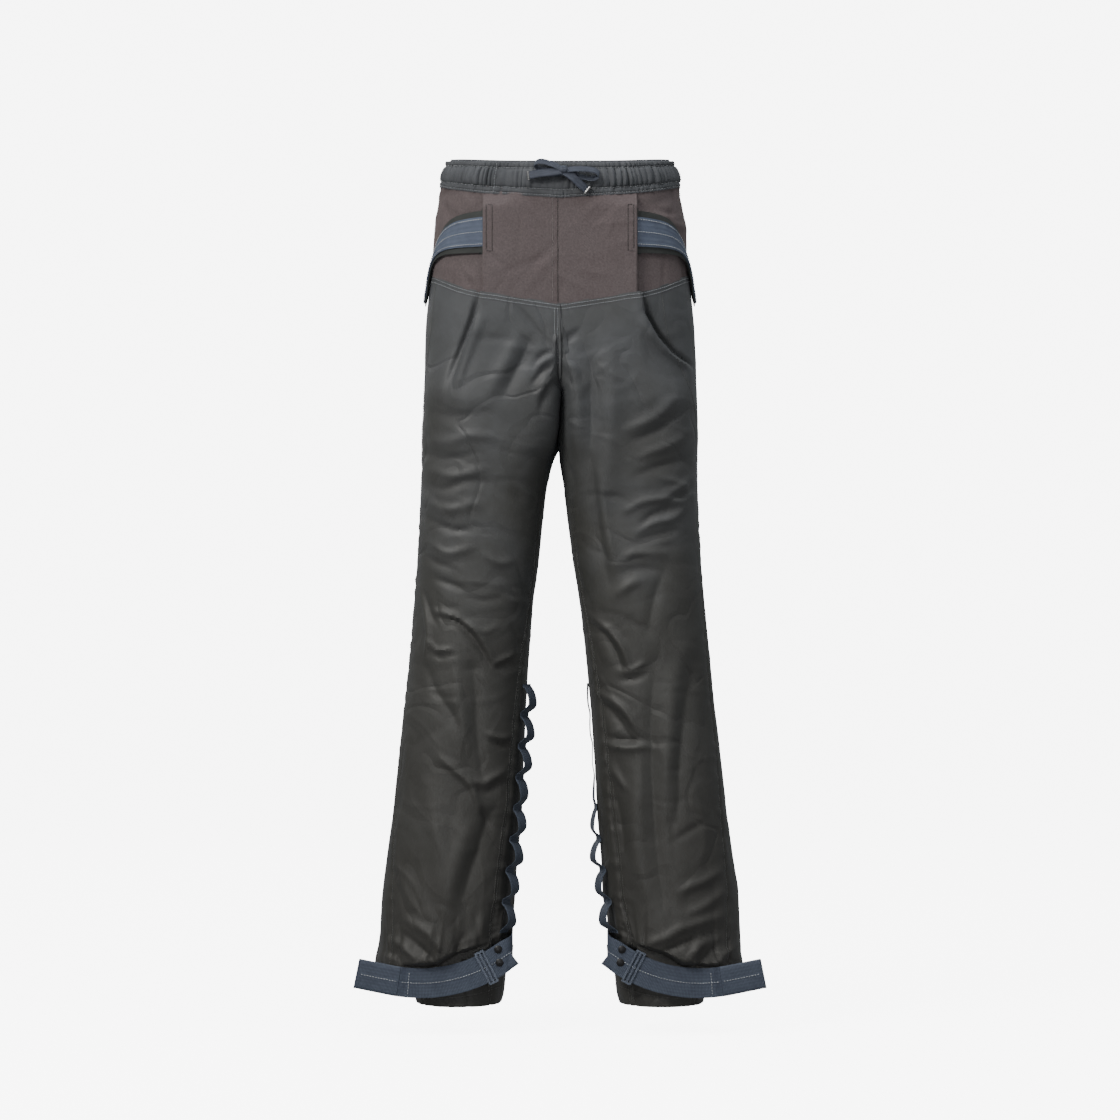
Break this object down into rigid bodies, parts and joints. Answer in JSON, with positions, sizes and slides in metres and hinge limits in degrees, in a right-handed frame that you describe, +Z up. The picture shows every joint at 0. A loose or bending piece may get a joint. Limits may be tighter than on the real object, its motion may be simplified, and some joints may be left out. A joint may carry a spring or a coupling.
{
  "type": "protective over-trousers",
  "caption": "Full-length protective over-trousers with a drawstring waist, brown yoke, hip webbing loops, wavy loop tapes on the inner legs and webbing belts at the hems.",
  "frame": {"origin": "centre of the waist opening, level with the top of the waistband", "axes": "+Z up, the wearer faces -Y, +X towards the wearer's left"},
  "size_m": [0.5238, 0.2372, 1.08],
  "materials": {
    "shell_taffeta": "dark olive grey nylon with a soft sheen",
    "yoke_canvas": "brown brushed canvas",
    "band_cloth": "grey-green cloth",
    "hip_webbing": "slate webbing with a pale centre stitch",
    "hem_webbing": "dark slate webbing with a pale centre stitch",
    "loop_tape": "slate tape",
    "drawstring_tape": "slate tape",
    "elastic": "ribbed elastic",
    "liner_fibre": "layered warp-knit fibre",
    "black_stud": "satin black",
    "slider_metal": "gunmetal",
    "eyelet_metal": "polished"
  },
  "bodies": {
    "root": {"waistband_front_casing": "band_cloth", "waistband_back_casing": "band_cloth", "waistband_inner_facing": "band_cloth", "waist_elastic": "elastic", "drawstring_in_waistband": "drawstring_tape", "right_eyelet": "eyelet_metal", "left_eyelet": "eyelet_metal", "drawstring_right_end": "drawstring_tape", "drawstring_left_end": "drawstring_tape", "drawstring_right_clamp": "eyelet_metal", "drawstring_left_clamp": "eyelet_metal", "drawstring_knot": "drawstring_tape", "right_yoke_front_panel": "yoke_canvas", "right_yoke_side_panel": "yoke_canvas", "right_yoke_back_panel": "yoke_canvas", "right_hip_loop_front_anchor": "band_cloth", "right_hip_loop_back_anchor": "band_cloth", "left_yoke_front_panel": "yoke_canvas", "left_yoke_side_panel": "yoke_canvas", "left_yoke_back_panel": "yoke_canvas", "left_hip_loop_front_anchor": "band_cloth", "left_hip_loop_back_anchor": "band_cloth"},
    "right_leg": {"right_leg_front_panel": "shell_taffeta", "right_leg_back_panel": "shell_taffeta", "right_leg_inner_gusset": "shell_taffeta", "right_leg_cut_liner": "liner_fibre", "right_hem_facing": "shell_taffeta", "right_leg_loop_tape": "loop_tape", "right_hem_under_belt": "hem_webbing", "right_hem_belt_front": "hem_webbing", "right_hem_belt_stud_tab": "hem_webbing", "right_press_stud_caps": "black_stud", "right_press_stud_sockets": "black_stud"},
    "right_belt_slider": {"right_hem_belt_slider": "slider_metal"},
    "right_belt_end": {"right_hem_belt_free_end": "hem_webbing"},
    "right_hip_loop": {"right_hip_loop_backing": "band_cloth", "right_hip_loop_webbing": "hip_webbing"},
    "left_leg": {"left_leg_front_panel": "shell_taffeta", "left_leg_back_panel": "shell_taffeta", "left_leg_inner_gusset": "shell_taffeta", "left_leg_cut_liner": "liner_fibre", "left_hem_facing": "shell_taffeta", "left_leg_loop_tape": "loop_tape", "left_hem_under_belt": "hem_webbing", "left_hem_belt_front": "hem_webbing", "left_hem_belt_stud_tab": "hem_webbing", "left_press_stud_caps": "black_stud", "left_press_stud_sockets": "black_stud"},
    "left_belt_slider": {"left_hem_belt_slider": "slider_metal"},
    "left_belt_end": {"left_hem_belt_free_end": "hem_webbing"},
    "left_hip_loop": {"left_hip_loop_backing": "band_cloth", "left_hip_loop_webbing": "hip_webbing"}
  },
  "joints": [
    {"name": "right_leg_swing", "type": "hinge", "parent": "root", "child": "right_leg", "pos_m": [-0.1, 0, -0.25], "axis": [-1, 0, 0], "range_deg": [-15, 45]},
    {"name": "right_slider_slide", "type": "hinge", "parent": "right_leg", "child": "right_belt_slider", "pos_m": [-0.178, -0.0723, -0.8624], "axis": [0, 1, 0], "range_deg": [0, 8]},
    {"name": "right_belt_end_fold", "type": "hinge", "parent": "right_leg", "child": "right_belt_end", "pos_m": [-0.2, -0.0723, -1.043], "axis": [0, 0, 1], "range_deg": [-50, 50]},
    {"name": "right_hip_loop_swing", "type": "hinge", "parent": "root", "child": "right_hip_loop", "pos_m": [-0.092, 0, -0.065], "axis": [0, 1, 0], "range_deg": [0, 14]},
    {"name": "left_leg_swing", "type": "hinge", "parent": "root", "child": "left_leg", "pos_m": [0.1, 0, -0.25], "axis": [-1, 0, 0], "range_deg": [-15, 45]},
    {"name": "left_slider_slide", "type": "hinge", "parent": "left_leg", "child": "left_belt_slider", "pos_m": [0.178, -0.0723, -0.8624], "axis": [0, -1, 0], "range_deg": [0, 8]},
    {"name": "left_belt_end_fold", "type": "hinge", "parent": "left_leg", "child": "left_belt_end", "pos_m": [0.2, -0.0723, -1.043], "axis": [0, 0, -1], "range_deg": [-50, 50]},
    {"name": "left_hip_loop_swing", "type": "hinge", "parent": "root", "child": "left_hip_loop", "pos_m": [0.092, 0, -0.065], "axis": [0, -1, 0], "range_deg": [0, 14]}
  ]
}
